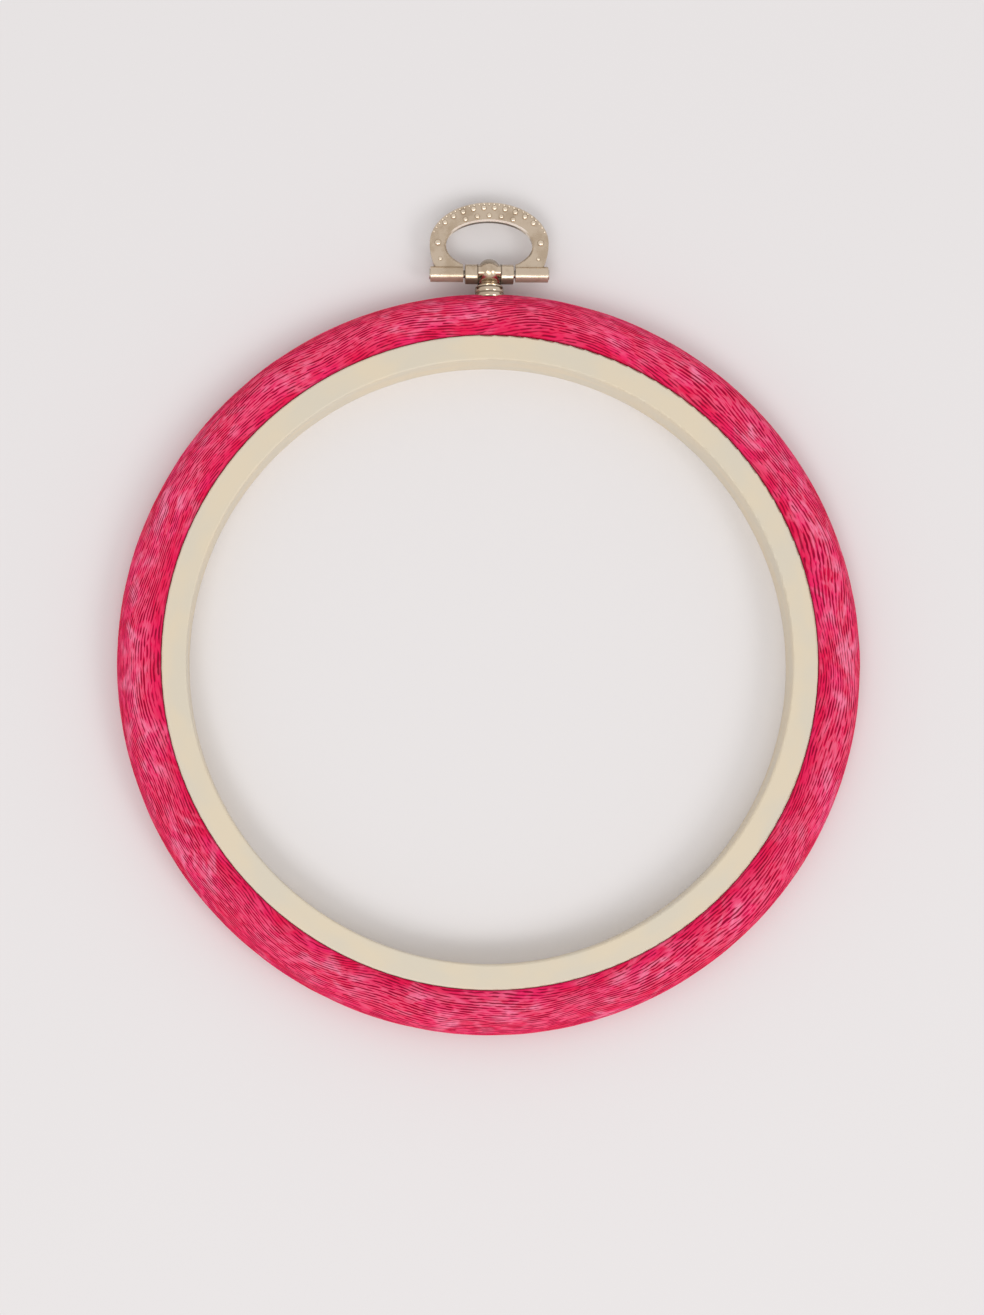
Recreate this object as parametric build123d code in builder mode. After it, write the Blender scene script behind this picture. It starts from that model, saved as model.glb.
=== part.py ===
from build123d import *
import os
from math import acos, asin, degrees, sqrt

# Embroidery hoop with a hanger.
# A flexible outer ring with a half-round face is pushed over a rigid inner ring, whose front lip
# sits in a rebate of the outer ring. A cast hanger loop swings on a pin at the top edge.
# The origin is on the rings' axis, in the plane of the back faces. +Z points out of the front,
# where the lip is, and +Y points at the hanger. All lengths are in millimetres.

# Inner ring
opening_radius = 62.8
band_wall = 2.3
lip_width = 5.25
lip_thickness = 1.6
lip_edge_round = 0.5
opening_edge_round = 0.4
band_lead_in = 0.5
lip_root_round = 0.3

# Outer ring
face_width = 9.3
ring_height = 9.5
side_flat = 1.0
front_edge_drop = 0.7
rebate_root_round = 0.5
lip_recess = 0.6

# Fit of the inner ring in the outer ring, on the radius
ring_clearance = 0.15

# Base collar
collar_radius = 3.03
collar_height = 2.3
collar_edge_round = 0.35
seat_depth = 0.9
seat_clearance = 0.12

# Knuckle
neck_height = 3.0
head_radius = 2.35
head_rise = 3.2
foot_step = 0.13
foot_edge = 0.25
foot_flare = 1.1
sleeve_radius = 2.05
sleeve_length = 10.2
sleeve_edge_round = 0.2
spigot_radius = 1.6
spigot_length = 4.6
spigot_clearance = 0.05
spigot_tip_gap = 0.3

# Hinge pin
pin_radius = 0.8
pin_clearance = 0.05
pin_end_radius = 1.1
pin_end_rise = 0.2

# Hanger loop
loop_half_width = 12.5
loop_rise = 15.15
shoulder_rise = 6.5
loop_thickness = 1.6
loop_side_width = 3.4
loop_top_width = 4.0
window_sill = 0.95
window_bevel = 0.35
loop_edge_round = 0.3
barrel_radius = 1.63
barrel_overhang = 0.9
barrel_gap = 0.4
barrel_edge_round = 0.15

# Mounting screw and washer
screw_radius = 1.0
screw_reach = 0.6
screw_hole_clearance = 0.15
screw_tip_gap = 0.5
thread_clearance = 0.02
head_height = 1.2
screw_head_radius = 1.85
head_edge_round = 0.5
slot_width = 0.45
slot_depth = 0.55
washer_overhang = 0.2
washer_thickness = 0.4
counterbore_clearance = 0.12
counterbore_depth = 2.2
counterbore_web = 0.63

# Radii and heights that follow from the sizes above
band_radius = opening_radius + band_wall
lip_radius = opening_radius + lip_width
ring_bore = band_radius + ring_clearance
rebate_radius = lip_radius + ring_clearance
ring_radius = rebate_radius + face_width
inner_ring_height = ring_height - lip_recess
rebate_floor = inner_ring_height - lip_thickness

# The screw's hole keeps its web below the rebate, and the ring is widest at the screw's height
washer_radius = screw_head_radius + washer_overhang
counterbore_radius = washer_radius + counterbore_clearance
widest_height = rebate_floor - counterbore_web - counterbore_radius
face_round = ring_height - widest_height
crown_radius = ring_radius - face_round
back_corner_radius = widest_height - side_flat
back_flat_radius = ring_radius - back_corner_radius

# Stations along the hanger's screw, which points along Y at the ring's widest line
seat_y = ring_radius - seat_depth
collar_top_y = seat_y + collar_height
hinge_y = collar_top_y + neck_height
head_top_y = hinge_y + head_rise
spigot_end_y = collar_top_y - spigot_length
spigot_hole_end_y = spigot_end_y - spigot_tip_gap
counterbore_floor_y = ring_bore + counterbore_depth
head_seat_y = counterbore_floor_y - washer_thickness
screw_end_y = collar_top_y + screw_reach
tapped_end_y = screw_end_y + screw_tip_gap

# Hanger loop stations. Its shoulders are arcs of a circle as wide as the loop, and each barrel
# ends a little outside the place where the shoulder meets the barrel's top.
loop_top_y = hinge_y + loop_rise
shoulder_y = hinge_y + shoulder_rise
foot_outer_x = sqrt(loop_half_width**2 - shoulder_rise**2)
barrel_top_x = sqrt(loop_half_width**2 - (shoulder_rise - barrel_radius) ** 2)
barrel_start = sleeve_length / 2 + barrel_gap
barrel_end = barrel_top_x + barrel_overhang
window_half_width = loop_half_width - loop_side_width
window_half_height = (loop_rise - loop_top_width - window_sill) / 2
window_y = hinge_y + window_sill + window_half_height

os.makedirs("parts", exist_ok=True)


def screw_plane(station_y):
    """Plane across the mounting screw at a station along Y, facing away from the ring."""
    return Plane(origin=(0, station_y, widest_height), x_dir=(1, 0, 0), z_dir=(0, 1, 0))


def corner(section, x, y):
    """The corner of a sketch that lies nearest to a point of the sketch's own plane."""
    return section.vertices().sort_by_distance((x, y, 0))[0]


# Profiles that turn about the screw are drawn as radius and station along Y
screw_profile_plane = Plane(origin=(0, 0, widest_height), x_dir=(0, 0, 1), z_dir=(-1, 0, 0))
screw_axis = Axis(origin=(0, 0, widest_height), direction=(0, 1, 0))
hinge_plane = Plane(origin=(0, hinge_y, widest_height), x_dir=(0, 1, 0), z_dir=(1, 0, 0))


# Outer ring: half round outside, a plain bore for the band and a rebate for the lip
with BuildPart() as outer_ring:
    with BuildSketch(Plane.XZ) as ring_section:
        with BuildLine():
            Line((ring_bore, 0), (back_flat_radius, 0))
            CenterArc((back_flat_radius, back_corner_radius), back_corner_radius, -90, 90)
            Line((ring_radius, back_corner_radius), (ring_radius, widest_height))
            CenterArc((crown_radius, widest_height), face_round, 0, 90)
            front_edge = (rebate_radius, ring_height - front_edge_drop)
            TangentArc((crown_radius, ring_height), front_edge, tangent=(-1, 0))
            Line(front_edge, (rebate_radius, rebate_floor))
            Line((rebate_radius, rebate_floor), (ring_bore, rebate_floor))
            Line((ring_bore, rebate_floor), (ring_bore, 0))
        make_face()
        fillet(corner(ring_section, ring_bore, rebate_floor), rebate_root_round)
    revolve(axis=Axis.Z)
    # Flat seat for the collar and the hole that the knuckle's spigot fits
    with BuildSketch(screw_plane(seat_y)):
        Circle(collar_radius + seat_clearance)
    extrude(amount=collar_height, mode=Mode.SUBTRACT)
    with BuildSketch(screw_plane(seat_y)):
        Circle(spigot_radius + spigot_clearance)
    extrude(amount=spigot_hole_end_y - seat_y, mode=Mode.SUBTRACT)
    # Screw hole, sunk from the inside so that the head stays clear of the band
    with Locations(Plane(origin=(0, ring_bore, widest_height), z_dir=(0, -1, 0))):
        CounterBoreHole(
            radius=screw_radius + screw_hole_clearance,
            counter_bore_radius=counterbore_radius,
            counter_bore_depth=counterbore_depth,
            depth=spigot_hole_end_y - ring_bore,
        )

# Inner ring: an L section, the band inside the outer ring and the lip in its rebate
with BuildPart() as inner_ring:
    with BuildSketch(Plane.XZ) as band_section:
        with BuildLine():
            Polyline(
                (opening_radius, 0),
                (band_radius, 0),
                (band_radius, rebate_floor),
                (lip_radius, rebate_floor),
                (lip_radius, inner_ring_height),
                (opening_radius, inner_ring_height),
                close=True,
            )
        make_face()
        fillet(corner(band_section, lip_radius, inner_ring_height), lip_edge_round)
        fillet(corner(band_section, opening_radius, inner_ring_height), opening_edge_round)
        fillet(corner(band_section, band_radius, rebate_floor), lip_root_round)
        chamfer(corner(band_section, band_radius, 0), band_lead_in)
    revolve(axis=Axis.Z)

# Base collar: a thick round washer on the seat, with the spigot through it
with BuildPart() as base_collar:
    with BuildSketch(screw_plane(seat_y)):
        Circle(collar_radius)
        Circle(spigot_radius + spigot_clearance, mode=Mode.SUBTRACT)
    extrude(amount=collar_height)
    collar_rims = base_collar.edges().filter_by(GeomType.CIRCLE)
    fillet(collar_rims.group_by(Axis.Y)[-1].sort_by(SortBy.RADIUS)[-1], collar_edge_round)

# Knuckle: a domed head on a flared foot, a cross sleeve for the pin and a tapped spigot
with BuildPart() as hanger_knuckle:
    foot_radius = collar_radius - foot_step
    flare_start_y = collar_top_y + foot_edge
    flare_end_y = collar_top_y + foot_flare
    dome_start_y = head_top_y - head_radius
    with BuildSketch(screw_profile_plane):
        with BuildLine():
            Line((0, spigot_end_y), (spigot_radius, spigot_end_y))
            Line((spigot_radius, spigot_end_y), (spigot_radius, collar_top_y))
            Line((spigot_radius, collar_top_y), (foot_radius, collar_top_y))
            Line((foot_radius, collar_top_y), (foot_radius, flare_start_y))
            TangentArc((head_radius, flare_end_y), (foot_radius, flare_start_y), tangent=(0, -1))
            Line((head_radius, flare_end_y), (head_radius, dome_start_y))
            CenterArc((0, dome_start_y), head_radius, 0, 90)
            Line((0, head_top_y), (0, spigot_end_y))
        make_face()
    revolve(axis=screw_axis)
    with BuildSketch(hinge_plane):
        Circle(sleeve_radius)
    extrude(amount=sleeve_length / 2, both=True)
    sleeve_rims = hanger_knuckle.edges().filter_by(GeomType.CIRCLE)
    fillet(sleeve_rims.group_by(Axis.X)[0] + sleeve_rims.group_by(Axis.X)[-1], sleeve_edge_round)
    with BuildSketch(hinge_plane):
        Circle(pin_radius + pin_clearance)
    extrude(amount=sleeve_length, both=True, mode=Mode.SUBTRACT)
    with BuildSketch(screw_plane(spigot_end_y)):
        Circle(screw_radius + thread_clearance)
    extrude(amount=tapped_end_y - spigot_end_y, mode=Mode.SUBTRACT)

# Hanger loop: one casting, a flat bow on two hinge barrels
with BuildPart() as hanger_loop:
    loop_plane = Plane.XY.offset(widest_height - loop_thickness / 2)
    foot_angle = degrees(asin(shoulder_rise / loop_half_width))
    # The window's ellipse stops where it meets the inner ends of the barrels
    window_angle = degrees(acos(barrel_start / window_half_width))
    window_foot_y = window_y - window_half_height * sqrt(1 - (barrel_start / window_half_width) ** 2)
    with BuildSketch(loop_plane):
        with BuildLine():
            Line((barrel_start, window_foot_y), (barrel_start, hinge_y))
            Line((barrel_start, hinge_y), (foot_outer_x, hinge_y))
            CenterArc((0, shoulder_y), loop_half_width, -foot_angle, foot_angle)
            EllipticalCenterArc(
                (0, shoulder_y),
                loop_half_width,
                loop_top_y - shoulder_y,
                start_angle=0,
                arc_size=180,
            )
            CenterArc((0, shoulder_y), loop_half_width, 180, foot_angle)
            Line((-foot_outer_x, hinge_y), (-barrel_start, hinge_y))
            Line((-barrel_start, hinge_y), (-barrel_start, window_foot_y))
            EllipticalCenterArc(
                (0, window_y),
                window_half_width,
                window_half_height,
                start_angle=180 + window_angle,
                arc_size=-180 - 2 * window_angle,
            )
        make_face()
    extrude(amount=loop_thickness)
    bow_top = (0, loop_top_y, widest_height)
    bow_arcs = hanger_loop.edges().filter_by(GeomType.ELLIPSE).sort_by_distance(bow_top)
    shoulder_arcs = hanger_loop.edges().filter_by(GeomType.CIRCLE)
    fillet(bow_arcs[:2] + shoulder_arcs, loop_edge_round)
    window_arcs = hanger_loop.edges().filter_by(GeomType.ELLIPSE).filter_by(Plane.XY)
    window_centre = (0, window_y, widest_height + loop_thickness / 2)
    chamfer(window_arcs.sort_by_distance(window_centre)[0], window_bevel)
    for side in (1, -1):
        with BuildSketch(hinge_plane.offset(side * barrel_start)):
            Circle(barrel_radius)
        extrude(amount=side * (barrel_end - barrel_start))
    barrel_rims = hanger_loop.edges().filter_by(GeomType.CIRCLE)
    outer_rims = barrel_rims.group_by(Axis.X)[0] + barrel_rims.group_by(Axis.X)[-1]
    fillet(outer_rims, barrel_edge_round)
    with BuildSketch(hinge_plane):
        Circle(pin_radius)
    extrude(amount=barrel_end, both=True, mode=Mode.SUBTRACT)

# Hinge pin: pressed into the barrels, free in the sleeve, its ends peened over
with BuildPart() as hinge_pin:
    with BuildSketch(hinge_plane):
        Circle(pin_radius)
    extrude(amount=barrel_end, both=True)
    for side in (1, -1):
        with BuildSketch(hinge_plane.offset(side * barrel_end)):
            Circle(pin_end_radius)
        extrude(amount=side * pin_end_rise)
    pin_rims = hinge_pin.edges().filter_by(GeomType.CIRCLE)
    fillet(pin_rims.group_by(Axis.X)[0] + pin_rims.group_by(Axis.X)[-1], pin_end_rise / 2)

# Mounting screw: a slotted pan head inside the ring, its shank up into the knuckle's spigot
with BuildPart() as mounting_screw:
    with BuildSketch(screw_plane(head_seat_y - head_height)):
        Circle(screw_head_radius)
    extrude(amount=head_height)
    head_rims = mounting_screw.edges().filter_by(GeomType.CIRCLE)
    fillet(head_rims.sort_by(Axis.Y)[0], head_edge_round)
    with BuildSketch(screw_plane(head_seat_y)):
        Circle(screw_radius)
    extrude(amount=screw_end_y - head_seat_y)
    with BuildSketch(screw_plane(head_seat_y - head_height)):
        Rectangle(2 * screw_head_radius, slot_width)
    extrude(amount=slot_depth, mode=Mode.SUBTRACT)

# Screw washer: under the head, on the floor of the counterbore
with BuildPart() as screw_washer:
    with BuildSketch(screw_plane(head_seat_y)):
        Circle(washer_radius)
        Circle(screw_radius + screw_hole_clearance, mode=Mode.SUBTRACT)
    extrude(amount=washer_thickness)

pieces = {
    "outer_ring": outer_ring,
    "inner_ring": inner_ring,
    "hanger_loop": hanger_loop,
    "hanger_knuckle": hanger_knuckle,
    "hinge_pin": hinge_pin,
    "base_collar": base_collar,
    "mounting_screw": mounting_screw,
    "screw_washer": screw_washer,
}
for name, piece in pieces.items():
    piece.part.label = name
    export_step(piece.part, f"parts/{name}.step")
    print(name, round(piece.part.volume, 2), "mm3")
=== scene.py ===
# %% [markdown]
# This lesson dresses an embroidery hoop in Blender. The hoop is a flexible pink ring with a wood grain
# pressed into it, a rigid cream ring with a flat lip inside it, and a small nickel hanger on a hinge at
# the top. The sizes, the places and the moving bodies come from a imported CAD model, which is loaded
# first and is never moved. Everything that is made here is fitted to that frame, in metres.

# %% Load the frame
import math

import bpy
from mathutils import Matrix, Vector
from mathutils.bvhtree import BVHTree


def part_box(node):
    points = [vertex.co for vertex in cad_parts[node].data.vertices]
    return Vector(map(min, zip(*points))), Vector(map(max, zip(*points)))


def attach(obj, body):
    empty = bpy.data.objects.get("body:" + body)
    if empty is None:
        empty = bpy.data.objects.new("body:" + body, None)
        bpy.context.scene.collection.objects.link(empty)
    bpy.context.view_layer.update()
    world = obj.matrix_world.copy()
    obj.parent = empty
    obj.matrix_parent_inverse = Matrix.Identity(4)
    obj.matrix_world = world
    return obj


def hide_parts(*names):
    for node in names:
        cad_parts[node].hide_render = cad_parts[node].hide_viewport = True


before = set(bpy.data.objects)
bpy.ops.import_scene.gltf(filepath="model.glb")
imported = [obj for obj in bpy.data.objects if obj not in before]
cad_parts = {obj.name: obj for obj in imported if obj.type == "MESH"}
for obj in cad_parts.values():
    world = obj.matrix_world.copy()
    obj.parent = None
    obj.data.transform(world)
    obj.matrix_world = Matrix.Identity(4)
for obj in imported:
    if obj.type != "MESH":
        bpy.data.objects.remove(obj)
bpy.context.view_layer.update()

# %% [markdown]
# A maker measures the blank before cutting. The lowest and highest corner of each CAD piece give the
# radii and the stations that the new pieces have to meet, so nothing has to be fitted by eye later.
# Lengths that the boxes can't tell, such as the rounding of an edge, are written in millimetres.

# %% Sizes read from the frame
MM = 0.001

ring_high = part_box("outer_ring")[1]
lip_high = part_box("inner_ring")[1]
collar_low, collar_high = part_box("base_collar")
knuckle_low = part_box("hanger_knuckle")[0]
washer_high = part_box("screw_washer")[1]
loop_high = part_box("hanger_loop")[1]
pin_low, pin_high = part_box("hinge_pin")

ring_radius = ring_high.x
ring_height = ring_high.z
hinge_height = (pin_low.z + pin_high.z) / 2
hinge_y = (pin_low.y + pin_high.y) / 2
face_round = ring_height - hinge_height
crown_radius = ring_radius - face_round
print(f"ring radius {ring_radius / MM:.2f} mm, its crown at {crown_radius / MM:.2f} mm")
print(f"hinge {hinge_height / MM:.2f} mm above the floor")

# %% [markdown]
# Materials and Geometry Nodes are both trees of nodes, and long sums of Math nodes are hard to read
# when each node is added by hand. So one small class wraps an output socket and turns Python's own
# operators into Math nodes, with the reflected forms that let 1 - mask work as it does on paper.

# %% Sums written as Python
class Wire:
    """An output socket of a node tree. A sum or product of wires adds its Math nodes to the tree."""

    def __init__(self, board, socket):
        self.board = board
        self.socket = socket

    def beside(self, name):
        """Another output of the same node."""
        return Wire(self.board, self.socket.node.outputs[name])

    def math(self, operation, *others):
        return self.board.math(operation, self, *others)

    def __add__(self, other):
        return self.math("ADD", other)

    def __sub__(self, other):
        return self.math("SUBTRACT", other)

    def __rsub__(self, other):
        return self.board.math("SUBTRACT", other, self)

    def __mul__(self, other):
        return self.math("MULTIPLY", other)

    def __truediv__(self, other):
        return self.math("DIVIDE", other)

    __radd__ = __add__
    __rmul__ = __mul__


# %% [markdown]
# Adding a node by hand takes a line for the node, one for each setting and one for each socket. A board
# does all of it in one call, and a socket takes a number or a wire alike. The nodes that come back again
# and again, such as a smooth step, a noise or a blend of two colours, have short names on it.

# %% A board to plug nodes into
skew_axis, skew_angle = (0.48, 0.6, 0.64), 0.7


class Board:
    """A node tree while it is being filled, in a material or in Geometry Nodes."""

    def __init__(self, tree):
        self.tree = tree

    def node(self, kind, settings=None, values=None, output=0):
        """Adds a node. Its settings are set first, then its sockets get numbers or wires."""
        made = self.tree.nodes.new(kind)
        for name, value in (settings or {}).items():
            setattr(made, name, value)
        for name, value in (values or {}).items():
            if isinstance(value, Wire):
                self.tree.links.new(value.socket, made.inputs[name])
            else:
                made.inputs[name].default_value = value
        return Wire(self, made.outputs[output]) if len(made.outputs) else made

    def math(self, operation, *values):
        """A Math node on these numbers or wires."""
        return self.node("ShaderNodeMath", {"operation": operation}, dict(enumerate(values)))

    def ease(self, value, low, high):
        """0 below low, 1 above high, and a smooth step between them."""
        values = {"Value": value, "From Min": low, "From Max": high}
        return self.node("ShaderNodeMapRange", {"interpolation_type": "SMOOTHSTEP"}, values)

    def grade(self, mask, low, high):
        """The low value where the mask is 0, the high one where it is 1, and a straight line between."""
        return mask * (high - low) + low

    def vector(self, x, y, z):
        return self.node("ShaderNodeCombineXYZ", {}, {"X": x, "Y": y, "Z": z})

    def parts(self, vector):
        """The three coordinates of a vector."""
        x = self.node("ShaderNodeSeparateXYZ", {}, {"Vector": vector})
        return x, x.beside("Y"), x.beside("Z")

    def noise(self, place, detail=0.0, roughness=0.5, scale=1.0):
        values = {"Vector": place, "Scale": scale, "Detail": detail, "Roughness": roughness}
        return self.node("ShaderNodeTexNoise", {}, values)

    def skewed(self, place, start):
        """A place turned off the noise's own grid, whose lines would show, and moved to a start."""
        values = {"Vector": place, "Center": (start, start, start), "Axis": skew_axis, "Angle": skew_angle}
        return self.node("ShaderNodeVectorRotate", {"rotation_type": "AXIS_ANGLE"}, values)

    def blend(self, mask, first, second):
        """The first colour where the mask is 0 and the second where it is 1."""
        values = {0: mask, 6: first, 7: second}
        return self.node("ShaderNodeMix", {"data_type": "RGBA"}, values, output=2)

    def bump(self, height, distance=1.0, strength=1.0):
        """A normal tilted by this height, which only the light sees."""
        values = {"Strength": strength, "Distance": distance, "Height": height}
        return self.node("ShaderNodeBump", {}, values)


# %% [markdown]
# Colours are noted down as a painter would read them off a screen, 0 to 255. Blender's shaders want
# linear light, so one function makes the change. A second one makes a material: it lays out a board, asks
# a recipe for the values of the Principled shader, and plugs that shader into the output.

# %% Colours and new materials
def paint(red, green, blue):
    """A colour as read off a screen, made into linear light."""

    def linear(level):
        share = level / 255
        return share / 12.92 if share <= 0.04045 else ((share + 0.055) / 1.055) ** 2.4

    return (linear(red), linear(green), linear(blue), 1.0)


def new_finish(name, shader_values):
    """A material with one Principled shader, whose values a recipe works out from the place."""
    material = bpy.data.materials.new(name)
    material.use_nodes = True
    material.node_tree.nodes.clear()
    board = Board(material.node_tree)
    place = board.node("ShaderNodeTexCoord", output="Object")
    values = shader_values(board, place)
    shader = board.node("ShaderNodeBsdfPrincipled", {}, values)
    board.node("ShaderNodeOutputMaterial", {}, {"Surface": shader})
    print(f"{name}: {len(material.node_tree.nodes)} nodes")
    return material


# %% [markdown]
# The pink ring is moulded vinyl with a wood grain pressed into its round face: fine dark pores that run
# along the ring and drift across it in long swings, with soft pale flecks between them. An image of wood
# could be wrapped round it, but a recipe needs no image and has no seam. The recipe is written once, in
# ring measure: how far round the circle a point is, and how far over the round of the section. The mesh
# and the paint both use it, so that the dark colour lies in the grooves.

# %% Ring measure
def ring_measure(board, place):
    """A point's place in mm: two coordinates on the crown's circle and one over the section's round."""
    x, y, z = board.parts(place)
    radius = (x * x + y * y).math("SQRT")
    turn = (z - hinge_height).math("ARCTAN2", radius - crown_radius)
    around_x = x / radius * (crown_radius / MM)
    around_y = y / radius * (crown_radius / MM)
    return around_x, around_y, turn * (face_round / MM), turn


# %% [markdown]
# Wood fibres are nearly straight lines on a board whose surface waves. Here a slow noise bends the lines
# over the section first, and the noises of the pores and the growth bands are then read along the bent
# lines, long along the fibre and short across it. The pale flecks lie at a slant of their own, and slow
# zones say where there are many. One table holds the measures of all these noises.

# %% The grain recipe
grain_noises = {
    # length along the ring in mm, width across it in mm, start, detail
    "swing": (25.0, 13.0, 3.0, 0.0),
    "drift": (3.6, 1.8, 17.0, 1.0),
    "slant": (8.0, 10.0, 71.0, 0.0),
    "dashes": (2.4, 0.3, 31.0, 1.0),
    "faint": (5.0, 1.4, 83.0, 1.0),
    "bands": (8.0, 2.6, 47.0, 2.0),
    "flecks": (4.6, 1.7, 61.0, 4.0),
    "zones": (11.0, 9.0, 109.0, 1.0),
}
swing_reach, drift_reach, slant_reach = 3.2, 0.13, 2.6
row_spacing = 0.5
dash_edge, faint_edge, zone_edge = (0.34, 0.56), (0.35, 0.6), (0.36, 0.64)
faint_share = 0.35
back_edge_turn, back_fade_turn = math.radians(-72), math.radians(-50)
front_fade_turn, front_edge_turn = math.radians(131), math.radians(137)


def wood_grain(board, place):
    """The grain's pores, growth bands, pale flecks and their zones, and where the face is grained."""
    around_x, around_y, over, turn = ring_measure(board, place)

    def along_ring(name, across):
        length, width, start, detail = grain_noises[name]
        spot = board.vector(around_x / length, around_y / length, across / width)
        return board.noise(board.skewed(spot, start), detail=detail)

    swing = along_ring("swing", over) - 0.5
    drift = along_ring("drift", over) - 0.5
    slant = along_ring("slant", over) - 0.5
    fibre = over + swing * (2 * swing_reach) + drift * (2 * drift_reach)
    rows = (fibre * (math.tau / row_spacing)).math("COSINE") * 0.5 + 0.5
    dashes = board.ease(along_ring("dashes", fibre), *dash_edge)
    faint = board.ease(along_ring("faint", fibre), *faint_edge) * faint_share
    past_back = board.ease(turn, back_edge_turn, back_fade_turn)
    past_front = board.ease(turn, front_fade_turn, front_edge_turn)
    return {
        "pores": rows * dashes * (1 - faint),
        "bands": along_ring("bands", fibre),
        "flecks": along_ring("flecks", over + slant * (2 * slant_reach)),
        "zones": board.ease(along_ring("zones", over), *zone_edge),
        "grained": past_back * (1 - past_front),
        "turn": turn,
    }


# %% [markdown]
# The section of the pink ring is half round outside. Inside it has a plain bore, and a step in which the
# cream lip sits. The step's wall comes closer to the lip than the CAD's clearance, because the real ring
# is stretched over it and leaves hardly a gap. The section is drawn once as a closed line of points: close
# together where the grain is pressed, because each groove needs a few of them, and far apart on the plain
# walls, which nobody sees.

# %% The section of the pink ring
step_width, step_gap, lip_thickness = 2.8 * MM, 0.06 * MM, 1.6 * MM
step_root_round = 0.5 * MM
front_edge_drop = 0.7 * MM
side_flat = 1.0 * MM
ring_bore = lip_high.x - step_width
step_radius = lip_high.x + step_gap
step_floor = lip_high.z - lip_thickness
back_corner = hinge_height - side_flat
grain_spacing = 0.15 * MM
plain_spacing = 3.0 * MM


def stroke(start, end, spacing):
    """Points on a straight line from its start up to, but without, its end."""
    start, end = Vector(start), Vector(end)
    count = max(1, round((end - start).length / spacing))
    return [start.lerp(end, k / count) for k in range(count)]


def arc(centre, radius, from_angle, to_angle, spacing):
    """Points on an arc, in degrees, without its end."""
    sweep = math.radians(to_angle - from_angle)
    count = max(3, round(abs(sweep) * radius / spacing))
    angles = [math.radians(from_angle) + sweep * k / count for k in range(count)]
    return [Vector(centre) + radius * Vector((math.cos(a), math.sin(a))) for a in angles]


front_run = crown_radius - step_radius
front_round = (front_run**2 + front_edge_drop**2) / (2 * front_edge_drop)
front_sweep = math.degrees(math.asin(front_run / front_round))
root = (ring_bore + step_root_round, step_floor - step_root_round)
section = [
    *stroke((ring_bore, 0), (ring_radius - back_corner, 0), plain_spacing),
    *arc((ring_radius - back_corner, back_corner), back_corner, -90, 0, grain_spacing),
    *stroke((ring_radius, back_corner), (ring_radius, hinge_height), grain_spacing),
    *arc((crown_radius, hinge_height), face_round, 0, 90, grain_spacing),
    *arc((crown_radius, ring_height - front_round), front_round, 90, 90 + front_sweep, grain_spacing),
    *stroke((step_radius, ring_height - front_edge_drop), (step_radius, step_floor), plain_spacing),
    *stroke((step_radius, step_floor), (root[0], step_floor), plain_spacing),
    *arc(root, step_root_round, 90, 180, step_root_round / 2),
    *stroke((ring_bore, root[1]), (ring_bore, 0), plain_spacing),
]
print(f"section of {len(section)} points, front edge on a round of {front_round / MM:.1f} mm")

# %% [markdown]
# The hanger's screw goes through the ring from the inside. Its hole has four steps: a sunk place for the
# washer and the head, the screw's own hole, a wider one for the knuckle's spigot, and a flat seat for the
# collar. A drill that has all four steps is turned like a lathe part, and the ring is cut with it once.

# %% The stepped drill
seat_clearance = 0.12 * MM
spigot_hole_radius = 1.65 * MM
screw_hole_radius = 1.15 * MM
spigot_gap = 0.3 * MM
drill_overrun = 1.0 * MM
drill_sides = 48

drill_steps = [
    (ring_bore - drill_overrun, 0.0),
    (ring_bore - drill_overrun, washer_high.x + seat_clearance),
    (washer_high.y, washer_high.x + seat_clearance),
    (washer_high.y, screw_hole_radius),
    (knuckle_low.y - spigot_gap, screw_hole_radius),
    (knuckle_low.y - spigot_gap, spigot_hole_radius),
    (collar_low.y, spigot_hole_radius),
    (collar_low.y, collar_high.x + seat_clearance),
    (ring_radius + drill_overrun, collar_high.x + seat_clearance),
    (ring_radius + drill_overrun, 0.0),
]


def turned_along_y(name, stations, sides):
    """A closed turned solid about the screw's axis. Stations are pairs of place along Y and radius."""
    points, faces = [], []
    for y, radius in stations[1:-1]:
        for k in range(sides):
            angle = math.tau * k / sides
            points.append((radius * math.cos(angle), y, hinge_height + radius * math.sin(angle)))
    rings = len(stations) - 2
    for row in range(rings - 1):
        for k in range(sides):
            here, following = row * sides + k, row * sides + (k + 1) % sides
            faces.append((here, following, following + sides, here + sides))
    faces.append(tuple(range(sides))[::-1])
    faces.append(tuple(range((rings - 1) * sides, rings * sides)))
    mesh = bpy.data.meshes.new(name)
    mesh.from_pydata(points, [], faces)
    mesh.validate()
    tool = bpy.data.objects.new(name, mesh)
    bpy.context.scene.collection.objects.link(tool)
    return tool


drill = turned_along_y("stepped_drill", drill_steps, drill_sides)
print(f"drill of {len(drill_steps)} stations")

# %% [markdown]
# A Geometry Nodes tree is a machine with labelled inputs. These two helpers build its front panel, and
# run it: the inputs are set by the sockets' identifiers before the result is first worked out, the
# result is turned into a plain mesh, and the machine is taken away, so that only the mesh is left.

# %% Helpers for Geometry Nodes
def new_machine(name, inputs):
    """A Geometry Nodes tree with named inputs. Returns its board and its inputs as wires."""
    tree = bpy.data.node_groups.new(name, "GeometryNodeTree")
    for label, kind in inputs.items():
        tree.interface.new_socket(label, in_out="INPUT", socket_type="NodeSocket" + kind)
    tree.interface.new_socket("Geometry", in_out="OUTPUT", socket_type="NodeSocketGeometry")
    board = Board(tree)
    first = board.node("NodeGroupInput")
    wires = {label: first.beside(label) for label in inputs}
    return board, wires


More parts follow.
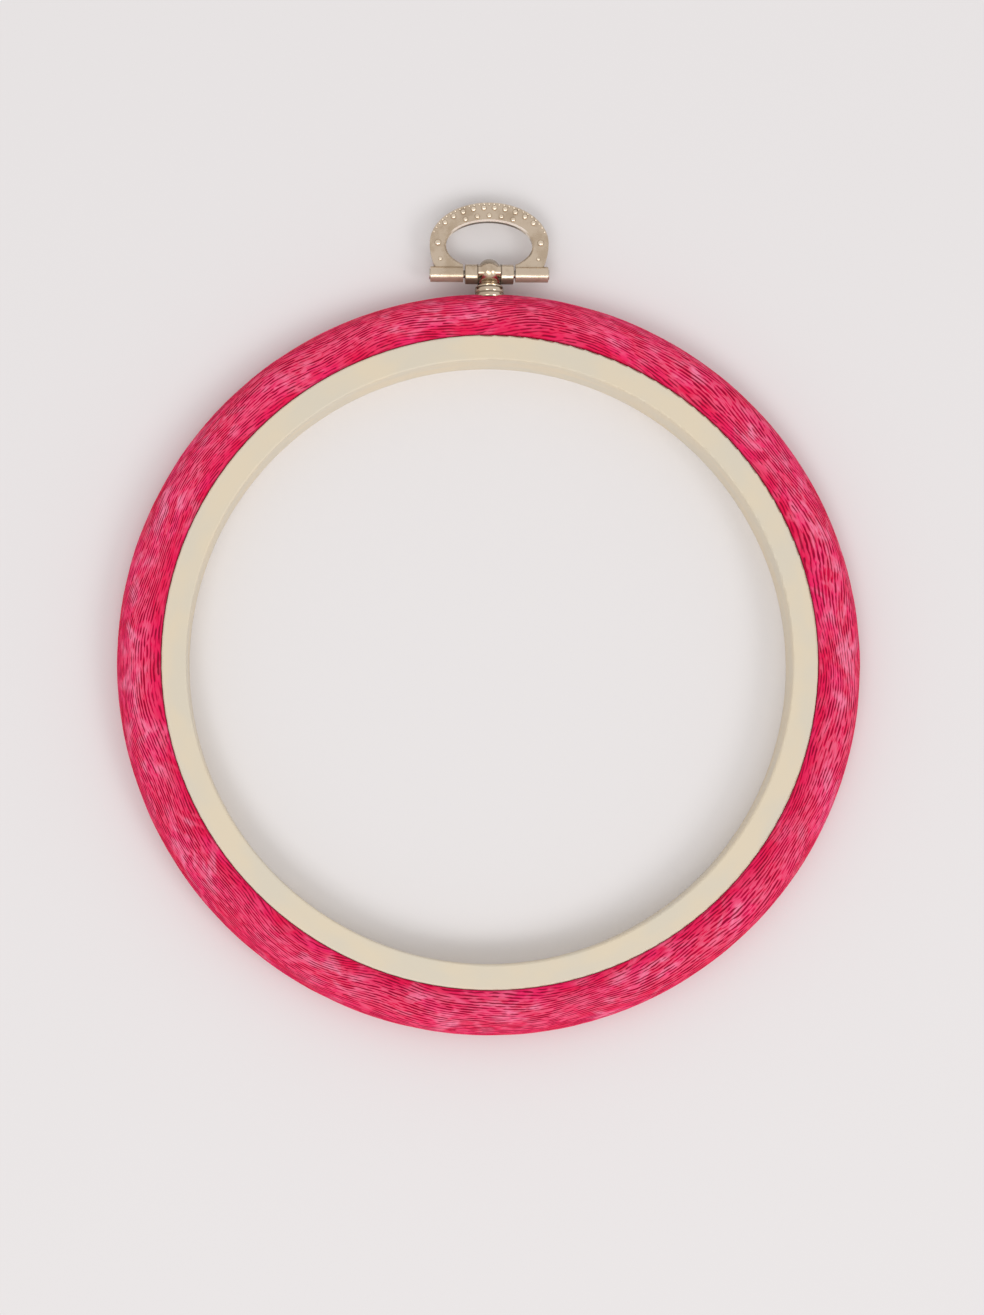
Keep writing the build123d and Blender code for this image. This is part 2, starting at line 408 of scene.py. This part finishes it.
def run_machine(tree, name, settings):
    """Runs a tree with these settings and returns the result as an object with a plain mesh."""
    holder = bpy.data.objects.new(name, bpy.data.meshes.new(name + "_blank"))
    bpy.context.scene.collection.objects.link(holder)
    modifier = holder.modifiers.new("machine", "NODES")
    modifier.node_group = tree
    for item in tree.interface.items_tree:
        if item.in_out == "INPUT" and item.name in settings:
            modifier[item.identifier] = settings[item.name]
    bpy.context.view_layer.update()
    seen = holder.evaluated_get(bpy.context.evaluated_depsgraph_get())
    mesh = bpy.data.meshes.new_from_object(seen)
    mesh.name = name
    holder.modifiers.remove(modifier)
    holder.data = mesh
    triangles = sum(len(face.vertices) - 2 for face in mesh.polygons)
    print(f"{name}: {len(mesh.vertices)} points, {triangles} triangles")
    return holder


# %% [markdown]
# The ring itself follows a rule: one section swept round one circle. Curve to Mesh does the sweep, the
# grain recipe says how deep each point is pressed, and Set Position pushes the points inwards along
# their normals, never outwards, so that the ring keeps its outer size. The drill is cut last. Bump in the
# material could fake the grooves, but then the edge of the ring would stay smooth in a close view.

# %% The machine that makes the pink ring
valley_edge = 0.3, 0.6
smooth_rim_turn = math.radians(126), math.radians(133)
crease_angle = math.radians(62)


def build_ring_machine():
    """The tree that sweeps the section, presses the grain into it and cuts the hole."""
    board, given = new_machine(
        "ring_machine",
        {
            "Section": "Object",
            "Drill": "Object",
            "Steps around": "Int",
            "Groove depth": "Float",
            "Band depth": "Float",
            "Finish": "Material",
        },
    )
    circle = board.node(
        "GeometryNodeCurvePrimitiveCircle",
        {"mode": "RADIUS"},
        {"Resolution": given["Steps around"], "Radius": crown_radius},
    )
    outline = board.node("GeometryNodeObjectInfo", {}, {"Object": given["Section"]}, output="Geometry")
    drill_shape = board.node("GeometryNodeObjectInfo", {}, {"Object": given["Drill"]}, output="Geometry")
    swept = board.node("GeometryNodeCurveToMesh", {}, {"Curve": circle, "Profile Curve": outline})

    grain = wood_grain(board, board.node("GeometryNodeInputPosition"))
    groove = grain["pores"] * given["Groove depth"]
    valley = (1 - board.ease(grain["bands"], *valley_edge)) * given["Band depth"]
    on_rim = board.ease(grain["turn"], *smooth_rim_turn)
    depth = (groove + valley) * grain["grained"] * (1 - on_rim)
    push = board.node(
        "ShaderNodeVectorMath",
        {"operation": "SCALE"},
        {0: board.node("GeometryNodeInputNormal"), "Scale": depth * -1.0},
    )
    pressed = board.node("GeometryNodeSetPosition", {}, {"Geometry": swept, "Offset": push})
    drilled = board.node(
        "GeometryNodeMeshBoolean",
        {"operation": "DIFFERENCE", "solver": "EXACT"},
        {"Mesh 1": pressed, "Mesh 2": drill_shape},
    )
    corner = board.node("GeometryNodeInputMeshEdgeAngle").math("GREATER_THAN", crease_angle)
    smooth = board.node("GeometryNodeSetShadeSmooth", {"domain": "FACE"}, {"Geometry": drilled})
    creased = board.node(
        "GeometryNodeSetShadeSmooth",
        {"domain": "EDGE"},
        {"Geometry": smooth, "Selection": corner, "Shade Smooth": False},
    )
    whole = board.node("GeometryNodeRealizeInstances", {}, {"Geometry": creased})
    painted = board.node("GeometryNodeSetMaterial", {}, {"Geometry": whole, "Material": given["Finish"]})
    board.node("NodeGroupOutput", {}, {"Geometry": painted})
    return board.tree


def section_curve(name, points):
    """The section as a closed curve, in the plane that Curve to Mesh carries along the circle."""
    curve = bpy.data.curves.new(name, "CURVE")
    curve.dimensions = "3D"
    spline = curve.splines.new("POLY")
    spline.points.add(len(points) - 1)
    for spot, (radius, height) in zip(spline.points, reversed(points)):
        spot.co = (radius - crown_radius, -height, 0, 1)
    spline.use_cyclic_u = True
    holder = bpy.data.objects.new(name, curve)
    bpy.context.scene.collection.objects.link(holder)
    return holder


ring_machine = build_ring_machine()
ring_outline = section_curve("ring_outline", section)

# %% [markdown]
# The vinyl is a strong crimson pink with a satin face. The grain gives it three more tones: dark pores
# where the colour lies in the grooves, deeper and lighter growth bands, and pale flecks and ridges, most
# of them on the crown, partly as wear where hands rub it and partly as a painted sheen where the crown
# meets the light. A thin line of painted shade darkens the front edge, where the pink meets the cream lip.
# The shader reads the same recipe as the mesh, and its bump sharpens the edges of the grooves. In the
# names below, an edge is the pair of values between which a mask rises from 0 to 1, and a strength is what
# the mask brings at 0 and at 1.

# %% Pink vinyl
pink = paint(239, 28, 97)
deep_pink = paint(229, 0, 70)
pale_pink = paint(250, 138, 172)
pore_red = paint(138, 0, 42)
pore_depth = 0.04 * MM
crown_start_turn = math.radians(15), math.radians(70)
crown_end_turn = math.radians(100), math.radians(128)
# The front edge, where the pink meets the cream lip, gets a thin dark line in the pore colour: painted
# shade in that crease.
rim_shade_turn, rim_shade_share = (math.radians(133.2), math.radians(134.9)), 0.5
band_edge, band_strength = (0.4, 0.58), (0.35, 1.0)
fleck_edge, fleck_strength, fleck_crowding = (0.44, 0.72), (0.3, 0.6), (0.35, 1.45)
ridge_edge, ridge_strength = (0.0, 0.22), (0.05, 0.31)
pore_edge, pore_strength = (0.15, 0.75), (0.36, 0.92)
vinyl_roughness, vinyl_gloss = (0.48, 0.68), 0.1


def vinyl(board, place):
    """The vinyl's shader values: growth bands, then pale flecks and ridges, then the dark pores and a line
    of painted shade along the front edge.
    """
    grain = wood_grain(board, place)
    pores, zones, grained, turn = (grain[name] for name in ("pores", "zones", "grained", "turn"))
    # The crown is paler for two causes: wear where hands rub it, and a painted sheen where the crown meets
    # the light.
    rubbed_and_lit_crown = board.ease(turn, *crown_start_turn) * (1 - board.ease(turn, *crown_end_turn))
    band_share = board.ease(grain["bands"], *band_edge) * board.grade(zones, *band_strength)
    fleck_share = board.ease(grain["flecks"], *fleck_edge) * board.grade(rubbed_and_lit_crown, *fleck_strength)
    fleck_share = fleck_share * board.grade(zones, *fleck_crowding)
    ridge_share = (1 - board.ease(pores, *ridge_edge)) * board.grade(rubbed_and_lit_crown, *ridge_strength)
    pore_share = board.ease(pores, *pore_edge) * board.grade(grained, *pore_strength)
    # The pores are the grain's own dark colour; along the front edge the same colour is painted shade.
    pores_and_rim_shade = pore_share.math("MAXIMUM", board.ease(turn, *rim_shade_turn) * rim_shade_share)
    banded = board.blend(band_share, deep_pink, pink)
    flecked = board.blend(fleck_share, banded, pale_pink)
    ridged = board.blend(ridge_share, flecked, pale_pink)
    return {
        "Base Color": board.blend(pores_and_rim_shade, ridged, pore_red),
        "Roughness": board.grade(pores_and_rim_shade, *vinyl_roughness),
        "Specular IOR Level": vinyl_gloss,
        "Normal": board.bump((1 - pores) * grained, pore_depth),
    }


pink_vinyl = new_finish("pink_vinyl", vinyl)

# %% [markdown]
# Now the machine runs with its real settings. The pink ring moves with the outer ring's body and takes the
# place of the plain CAD ring. The last line measures how far the pressed surface lies from the CAD one.

# %% Make the pink ring
steps_around = 660
groove_depth = 0.1 * MM
band_depth = 0.06 * MM

pink_ring = run_machine(
    ring_machine,
    "grained_ring",
    {
        "Section": ring_outline,
        "Drill": drill,
        "Steps around": steps_around,
        "Groove depth": groove_depth,
        "Band depth": band_depth,
        "Finish": pink_vinyl,
    },
)
for tool in (ring_outline, drill):
    bpy.data.objects.remove(tool)
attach(pink_ring, "outer_ring")
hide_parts("outer_ring")


def farthest_from(piece, node):
    """How far the new piece's points lie from the CAD node's surface, at most."""
    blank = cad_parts[node].data
    surface = BVHTree.FromPolygons([v.co for v in blank.vertices], [f.vertices for f in blank.polygons])
    return max(surface.find_nearest(point.co)[3] for point in piece.data.vertices)


print(f"the grain goes {farthest_from(pink_ring, 'outer_ring') / MM:.2f} mm deep")

# %% [markdown]
# The cream ring is hard plastic from a polished mould. Close to, it isn't one colour: the plastic flowed
# round the mould, so slow clouds of slightly warmer and cooler cream run along it, and handling has left
# faint scuffs that change the gloss and hardly the height. All of that stays weak, or the ring would look
# dirty.

# %% Cream plastic
cream = paint(222, 209, 187)
warm_cream = paint(228, 211, 182)
cool_cream = paint(215, 207, 190)
cloud_length, cloud_width = 16.0, 2.5
scuff_length, scuff_width = 3.0, 0.25
ripple_length, ripple_depth, ripple_strength = 5.0, 0.05 * MM, 0.3
scuff_relief = 0.15
cloud_edge, cloud_share = (0.35, 0.65), 0.5
cream_roughness = 0.34, 0.54


def cream_plastic(board, place):
    """The cream plastic's shader values: slow clouds of colour, scuffs and a slight mould ripple."""
    around_x, around_y, over = ring_measure(board, place)[:3]

    def stretched(length, width, detail, roughness=0.5):
        spot = board.vector(around_x / length, around_y / length, over / width)
        return board.noise(spot, detail, roughness)

    clouds = board.ease(stretched(cloud_length, cloud_width, 2.0), *cloud_edge)
    scuffs = stretched(scuff_length, scuff_width, 3.0, roughness=0.6)
    ripple = stretched(ripple_length, ripple_length, 1.0)
    clouded = board.blend(clouds, cool_cream, warm_cream)
    return {
        "Base Color": board.blend(cloud_share, cream, clouded),
        "Roughness": board.grade(scuffs, *cream_roughness),
        "Normal": board.bump(ripple + scuffs * scuff_relief, ripple_depth, ripple_strength),
    }


cream_finish = new_finish("cream_plastic", cream_plastic)

# %% [markdown]
# The hanger is a small casting with a warm nickel plate. A casting is never quite flat: its face has the
# soft unevenness of the mould, and the plate is duller in patches. Its crevices are painted a brown that is
# partly tarnish and partly painted shade where the surface is closed in. One recipe makes this finish and
# the plainer steel ones, with other values.

# %% Nickel and steel
tarnish_and_shade = paint(84, 66, 50)
# A near-white for the painted highlight on the loop's window edge.
highlight_colour = paint(255, 248, 234)
patch_scale, patch_edge = 260.0, (0.42, 0.68)
swell_scale = 900.0
streak_scale, streak_scale_across = 400.0, 4000.0
crevice, crevice_edge, crevice_share = 1.0 * MM, (0.45, 0.95), 0.55
haze_share = 0.65
dull_roughness, tarnish_roughness, streak_roughness = 0.08, 0.2, 0.08


def metal_recipe(bright, dull, roughness, unevenness, brushing, shaped=None):
    """A metal's shader values: two tones in patches, a brown in the crevices that is partly tarnish and
    partly painted shade, and a slightly uneven face.
    """

    def values(board, place):
        x, y, z = board.parts(place)
        patches = board.noise(place, detail=3.0, roughness=0.6, scale=patch_scale)
        swell = board.noise(place, detail=1.0, scale=swell_scale)
        spot = board.vector(x * streak_scale, y * streak_scale_across, z * streak_scale_across)
        streaks = board.noise(spot, detail=2.0)
        open_air = board.node(
            "ShaderNodeAmbientOcclusion", {"samples": 8}, {"Distance": crevice}, output="AO"
        )
        height = (swell + streaks * brushing) * unevenness
        # Where the AO node finds the surface closed in, the colour turns brown: partly tarnish, partly
        # painted shade in the crevices.
        crevice_shade_and_tarnish = (1 - board.ease(open_air, *crevice_edge)) * crevice_share
        tone = board.ease(patches, *patch_edge)
        colour = board.blend(tone, bright, dull)
        streaked = (streaks - 0.5) * streak_roughness
        underside = 0.0
        if shaped:
            relief, shade_mask, edge_highlight, underside = shaped(board, x, y)
            height = height + relief
            crevice_shade_and_tarnish = crevice_shade_and_tarnish.math("MAXIMUM", shade_mask)
            # The painted highlight: a light line on the window's upper edge.
            colour = board.blend(edge_highlight, colour, highlight_colour)
        return {
            # The brown carries the crevices' tarnish and painted shade, and the painted shade of the
            # castings' own masks.
            "Base Color": board.blend(crevice_shade_and_tarnish, colour, tarnish_and_shade),
            "Metallic": 1.0 - underside * haze_share,
            "Roughness": roughness + tone * dull_roughness + crevice_shade_and_tarnish * tarnish_roughness + streaked,
            "Normal": board.bump(height),
        }

    return values


# %% [markdown]
# Two castings have more to show than the plain metal. The knuckle has a rounded head and turned rings on
# its foot, which a bump can give, with painted shade in the seams beside the head and between the rings.
# The upper edge of the loop's window gets a painted highlight, a light line in its colour. And the plate is
# hazy, with painted shade on the faces that look down at the ring: the window's upper wall and the
# undersides of the barrels and sleeves.

# %% What the castings add to the plain metal
ball_centre_y, ball_radius, ball_side = hinge_y + 0.8 * MM, 2.2 * MM, 2.35 * MM
seam_half, seam_width, seam_fade = 0.05 * MM, 0.1 * MM, 0.4 * MM
foot_top_y, foot_blend = hinge_y - 2.3 * MM, 0.15 * MM
foot_ring_start, foot_ring_spacing, foot_ring_rise = 0.3 * MM, 1.1 * MM, 0.06 * MM
bow_start_y, bow_blend = hinge_y + 3.0 * MM, 1.0 * MM
sleeve_haze_edge, sleeve_shade = (0.5, 0.72), 0.85
barrel_haze_edge, barrel_shade = (0.4, 0.8), 0.35
highlight_start, highlight_end = (0.45, 0.6), (0.72, 0.78)
wall_edge, wall_shade = (0.8, 0.95), 0.85
seam_shade, ring_shade, ring_shade_edge = 0.8, 0.7, (0.2, 0.9)


def facing_down(board):
    """How far the surface faces down the loop, towards the ring's middle: 1 straight at it."""
    normal = board.node("ShaderNodeTexCoord", output="Normal")
    return board.parts(normal)[1] * -1.0


def knuckle_shape(board, x, y):
    """The knuckle's height, its painted shade in the seams, between the foot's rings and under the sleeves,
    no painted highlight, and its underside.
    """
    side = x.math("ABSOLUTE")
    above = y - ball_centre_y
    on_foot = 1 - board.ease(y, foot_top_y - foot_blend, foot_top_y + foot_blend)
    off_foot = 1 - on_foot
    on_head = (1 - board.ease(side, ball_side - seam_half, ball_side + seam_width)) * off_foot
    ball = above * above * (-0.5 / ball_radius)
    wave = ((y - foot_top_y + foot_ring_start) * (math.tau / foot_ring_spacing)).math("COSINE")
    past_seam = board.ease(side, ball_side + seam_width, ball_side + seam_fade)
    # Painted shade: dark lines in the seams beside the head and between the foot's rings, and a darker
    # underside of the sleeves.
    seam = board.ease(side, ball_side - seam_half, ball_side + seam_half) * (1 - past_seam) * off_foot
    between_rings = board.ease(wave * -1.0, *ring_shade_edge) * on_foot
    underside = board.ease(facing_down(board), *sleeve_haze_edge) * off_foot
    shade_mask = (seam * seam_shade).math("MAXIMUM", between_rings * ring_shade)
    shade_mask = shade_mask.math("MAXIMUM", underside * sleeve_shade)
    return ball * on_head + wave * foot_ring_rise * on_foot, shade_mask, 0.0, underside


def bow_shape(board, x, y):
    """The loop's height, its painted shade on the window's upper wall and under the barrels, the painted
    highlight on the window's upper edge, and its underside.
    """
    down = facing_down(board)
    on_bow = board.ease(y, bow_start_y, bow_start_y + bow_blend)
    # A painted highlight: a light line along the window's upper edge, where it faces down the loop.
    edge_highlight = board.ease(down, *highlight_start) * (1 - board.ease(down, *highlight_end)) * on_bow
    underside = board.ease(down, *barrel_haze_edge) * (1 - on_bow)
    # Painted shade on the window's upper wall and under the barrels.
    shade_mask = board.ease(down, *wall_edge) * on_bow * wall_shade + underside * barrel_shade
    return 0.0, shade_mask, edge_highlight, underside


# %% [markdown]
# Now the recipe is run once for each metal. The loop and the knuckle are warm nickel, and the beads are
# the same plate rubbed bright. The pin and the screw are plainer steel, flatter and with more of the
# fine streaks that brushing leaves.

# %% The metals
warm, warm_dull = paint(212, 196, 174), paint(192, 174, 150)
cast_unevenness, drawn_unevenness = 0.03 * MM, 0.008 * MM
metal_values = {
    # bright tone, dull tone, roughness, unevenness, brushing, what the casting adds
    "warm_nickel": (warm, warm_dull, 0.22, cast_unevenness, 0.1, bow_shape),
    "knuckle_nickel": (warm, warm_dull, 0.14, cast_unevenness, 0.1, knuckle_shape),
    "bead_nickel": (paint(236, 222, 200), warm, 0.1, 0.0, 0.0),
    "pin_steel": (paint(206, 200, 188), paint(178, 168, 150), 0.28, drawn_unevenness, 0.6),
    "screw_steel": (paint(200, 202, 204), paint(170, 172, 172), 0.32, drawn_unevenness, 0.6),
}
metals = {name: new_finish(name, metal_recipe(*values)) for name, values in metal_values.items()}

# %% [markdown]
# Small raised beads run along the bow of the hanger in two staggered rows, with a finer beaded rim
# outside them and two beads on each side, a larger and a smaller one. They repeat along a curve, which is
# what Geometry Nodes are for: each row is an ellipse that follows the bow, cut to the stretch that has
# beads, and one small dome is placed on each of its evenly spaced points.

# %% Where the beads go
shoulder_rise, face_rise = 6.5 * MM, 0.8 * MM
bow_half_width = loop_high.x
shoulder_y = hinge_y + shoulder_rise
bow_rise = loop_high.y - shoulder_y
face_height = hinge_height + face_rise

bead_rows = [
    # inset from the rim, number of beads, how far out along X the last bead lies, radius, rise
    (1.2 * MM, 10, 9.3 * MM, 0.56 * MM, 0.4 * MM),
    (2.85 * MM, 5, 5.0 * MM, 0.54 * MM, 0.4 * MM),
    (0.4 * MM, 27, 11.6 * MM, 0.26 * MM, 0.2 * MM),
]
side_beads = [
    # how far out along X, place along Y, radius, rise
    (bow_half_width - 1.7 * MM, shoulder_y, 0.68 * MM, 0.45 * MM),
    (bow_half_width - 2.2 * MM, shoulder_y - 3.4 * MM, 0.42 * MM, 0.3 * MM),
]
bead_count = sum(row[1] for row in bead_rows) + 2 * len(side_beads)
print(f"{bead_count} beads in {len(bead_rows)} rows and {len(side_beads)} pairs")

# %% [markdown]
# The machine draws a half circle, stretches it to the bow's two half axes, and sets a dome on each point.
# The reach says how far out the last bead lies, and the angle at which the arc starts follows from it.

# %% The machine that sets a row of beads
arc_points = 181
dome_sides, dome_rings = 18, 10


def build_bead_machine():
    """The tree that sets domes on a stretch of an ellipse."""
    board, given = new_machine(
        "bead_machine",
        {
            "Half width": "Float",
            "Rise": "Float",
            "Centre": "Vector",
            "Beads": "Int",
            "Reach": "Float",
            "Bead radius": "Float",
            "Bead rise": "Float",
            "Finish": "Material",
        },
    )
    start = (given["Reach"] / given["Half width"]).math("ARCCOSINE")
    sweep = math.pi - start * 2.0
    circle = board.node(
        "GeometryNodeCurveArc",
        {"mode": "RADIUS"},
        {"Resolution": arc_points, "Radius": 1.0, "Start Angle": start, "Sweep Angle": sweep},
    )
    bow_size = board.vector(given["Half width"], given["Rise"], 1.0)
    bow = board.node(
        "GeometryNodeTransform",
        {},
        {"Geometry": circle, "Translation": given["Centre"], "Scale": bow_size},
    )
    spots = board.node(
        "GeometryNodeCurveToPoints", {"mode": "COUNT"}, {"Curve": bow, "Count": given["Beads"]}
    )
    ball = board.node(
        "GeometryNodeMeshUVSphere", {}, {"Segments": dome_sides, "Rings": dome_rings, "Radius": 1.0}
    )
    dome_size = board.vector(given["Bead radius"], given["Bead radius"], given["Bead rise"])
    dome = board.node("GeometryNodeTransform", {}, {"Geometry": ball, "Scale": dome_size})
    placed = board.node("GeometryNodeInstanceOnPoints", {}, {"Points": spots, "Instance": dome})
    whole = board.node("GeometryNodeRealizeInstances", {}, {"Geometry": placed})
    smooth = board.node("GeometryNodeSetShadeSmooth", {"domain": "FACE"}, {"Geometry": whole})
    painted = board.node("GeometryNodeSetMaterial", {}, {"Geometry": smooth, "Material": given["Finish"]})
    board.node("NodeGroupOutput", {}, {"Geometry": painted})
    return board.tree


bead_machine = build_bead_machine()

# %% [markdown]
# One machine sets every row. The pair of side beads is a row of two on an ellipse without any height,
# whose ends are the two places. All beads are part of the casting, so they ride with the hanger.

# %% Set the beads
def bead_row(name, half_width, rise, centre_y, beads, reach, radius, height):
    """One row of beads on the face of the loop, as a piece of its own."""
    row = run_machine(
        bead_machine,
        name,
        {
            "Half width": half_width,
            "Rise": rise,
            "Centre": (0.0, centre_y, face_height),
            "Beads": beads,
            "Reach": reach,
            "Bead radius": radius,
            "Bead rise": height,
            "Finish": metals["bead_nickel"],
        },
    )
    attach(row, "hanger")


for number, (inset, *row) in enumerate(bead_rows, start=1):
    bead_row(f"bead_row_{number}", bow_half_width - inset, bow_rise - inset, shoulder_y, *row)
for number, (place_x, place_y, radius, rise) in enumerate(side_beads, start=1):
    bead_row(f"side_beads_{number}", place_x, 0.0, place_y, 2, place_x, radius, rise)

# %% [markdown]
# The other pieces keep their CAD shape, which is right as it is, and only change their material. A CAD
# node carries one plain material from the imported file, so each of its slots is filled with the finish.

# %% Dress the CAD pieces
finishes = {
    "inner_ring": cream_finish,
    "hanger_loop": metals["warm_nickel"],
    "hanger_knuckle": metals["knuckle_nickel"],
    "base_collar": metals["knuckle_nickel"],
    "hinge_pin": metals["pin_steel"],
    "mounting_screw": metals["screw_steel"],
    "screw_washer": metals["screw_steel"],
}
for node, finish in finishes.items():
    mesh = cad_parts[node].data
    for index in range(len(mesh.materials)):
        mesh.materials[index] = finish
print(f"{len(finishes)} CAD pieces dressed")

# %% [markdown]
# The hoop lies on a plain pale floor. Near the hoop the floor is an honest matt surface, which takes the
# soft shadow. Far out the camera sees the backdrop's even pale colour instead, so that no horizon shows
# in a low view. For the light that the floor gives back it is the same matt surface everywhere.

# %% Floor
floor_half = 3.0
floor_gap = 0.02 * MM
floor_colour = paint(235, 231, 231)
backdrop = paint(233, 229, 229)
near_radius, far_radius = 0.35, 0.9


def seen_by_camera(board):
    """1 for the camera's own rays and for those that come by way of a mirror or glass, or else 0."""
    ray = board.node("ShaderNodeLightPath", output="Is Camera Ray")
    mirrored = ray.math("MAXIMUM", ray.beside("Is Glossy Ray"))
    return mirrored.math("MAXIMUM", ray.beside("Is Transmission Ray"))


def lay_floor():
    """A wide square, matt near the hoop and even in colour far out."""
    mesh = bpy.data.meshes.new("floor")
    corners = [
        (x * floor_half, y * floor_half, -floor_gap) for x, y in ((-1, -1), (1, -1), (1, 1), (-1, 1))
    ]
    mesh.from_pydata(corners, [], [(0, 1, 2, 3)])
    floor = bpy.data.objects.new("floor", mesh)
    bpy.context.scene.collection.objects.link(floor)
    material = bpy.data.materials.new("pale_floor")
    material.use_nodes = True
    material.node_tree.nodes.clear()
    board = Board(material.node_tree)
    place = board.node("ShaderNodeTexCoord", output="Object")
    distance = board.node("ShaderNodeVectorMath", {"operation": "LENGTH"}, {0: place}, output="Value")
    far = board.ease(distance, near_radius, far_radius) * seen_by_camera(board)
    matt = board.node("ShaderNodeBsdfDiffuse", {}, {"Color": floor_colour})
    plain = board.node("ShaderNodeEmission", {}, {"Color": backdrop, "Strength": 1.0})
    surface = board.node("ShaderNodeMixShader", {}, {0: far, 1: matt, 2: plain})
    board.node("ShaderNodeOutputMaterial", {}, {"Surface": surface})
    mesh.materials.append(material)
    return floor


lay_floor()
print(f"floor {2 * floor_half:.0f} m wide, even from {far_radius} m outwards")

# %% [markdown]
# The light is that of a bright room with three windows on the near side, the left one highest and the
# right one lowest. A big soft lamp stands for each, and an even world fills the rest. Together they bring
# a matt surface to about the colour that was written for it. For the camera and for mirror reflections
# the world has the backdrop's colour.

# %% World and lamps
ambient = 0.688
windows = {
    # direction and height in degrees, distance and size in metres, share of full light on the floor
    "left_window": (240, 56, 3.0, 1.1, 0.11),
    "near_window": (270, 50, 3.0, 1.25, 0.09),
    "right_window": (325, 44, 3.0, 1.1, 0.11),
}

world = bpy.data.worlds.new("studio")
bpy.context.scene.world = world
world.use_nodes = True
world.node_tree.nodes.clear()
sky = Board(world.node_tree)
sky_colour = sky.blend(seen_by_camera(sky), (ambient, ambient, ambient, 1), backdrop)
background = sky.node("ShaderNodeBackground", {}, {"Color": sky_colour, "Strength": 1.0})
sky.node("ShaderNodeOutputWorld", {}, {"Surface": background})


def window(name, azimuth, elevation, distance, size, share):
    """A square lamp that brings the given share of full light to the floor under it."""
    turn, tilt = math.radians(azimuth), math.radians(elevation)
    level = math.cos(tilt)
    spot = Vector((math.cos(turn) * level, math.sin(turn) * level, math.sin(tilt))) * distance
    lamp = bpy.data.lights.new(name, "AREA")
    lamp.size = size
    lamp.energy = share * math.pi**2 * distance**2 / math.sin(tilt)
    holder = bpy.data.objects.new(name, lamp)
    holder.location = spot
    holder.rotation_euler = (-spot).to_track_quat("-Z", "Y").to_euler()
    bpy.context.scene.collection.objects.link(holder)
    print(f"{name}: {lamp.energy:.2f} W at {distance} m")


for name, place in windows.items():
    window(name, *place)

# %% [markdown]
# The photograph was taken from half a metre above the hoop, with the camera a little below and left of
# its middle. That is why the near wall of the cream ring is hidden and the far wall shows. The circles are
# hardly squashed, so part of that offset is given to the lens shift and the rest to a slight tilt.

# %% Camera
photo_width_px, photo_height_px = 984, 1315
px_per_mm = 4.795
ring_centre_px = (489.7, 662.6)
eye_left, eye_below, eye_above = 27 * MM, 53 * MM, 500 * MM
tilt_share = 0.45
sensor_width, near_clip = 36.0, 0.01

ring_centre = Vector((0, 0, hinge_height))
eye = Vector((-eye_left, -eye_below, hinge_height + eye_above))
foot = Vector((eye.x, eye.y, hinge_height))
forward = (foot.lerp(ring_centre, tilt_share) - eye).normalized()
right = forward.cross(Vector((0, 1, 0))).normalized()
up = right.cross(forward)
to_ring = ring_centre - eye
depth = to_ring.dot(forward)
frame_height = photo_height_px / px_per_mm * MM

camera_data = bpy.data.cameras.new("camera")
camera_data.sensor_width = sensor_width
camera_data.lens = sensor_width * depth / frame_height
camera_data.shift_x = to_ring.dot(right) / frame_height - (
    (ring_centre_px[0] - photo_width_px / 2) / photo_height_px
)
camera_data.shift_y = to_ring.dot(up) / frame_height - (
    (photo_height_px / 2 - ring_centre_px[1]) / photo_height_px
)
camera_data.clip_start = near_clip
camera = bpy.data.objects.new("camera", camera_data)
camera.matrix_world = Matrix.Translation(eye) @ Matrix((right, up, -forward)).transposed().to_4x4()
bpy.context.scene.collection.objects.link(camera)
bpy.context.scene.camera = camera
bpy.context.scene.view_settings.view_transform = "Standard"
print(f"lens {camera_data.lens:.1f} mm, shift {camera_data.shift_x:.3f}, {camera_data.shift_y:.3f}")
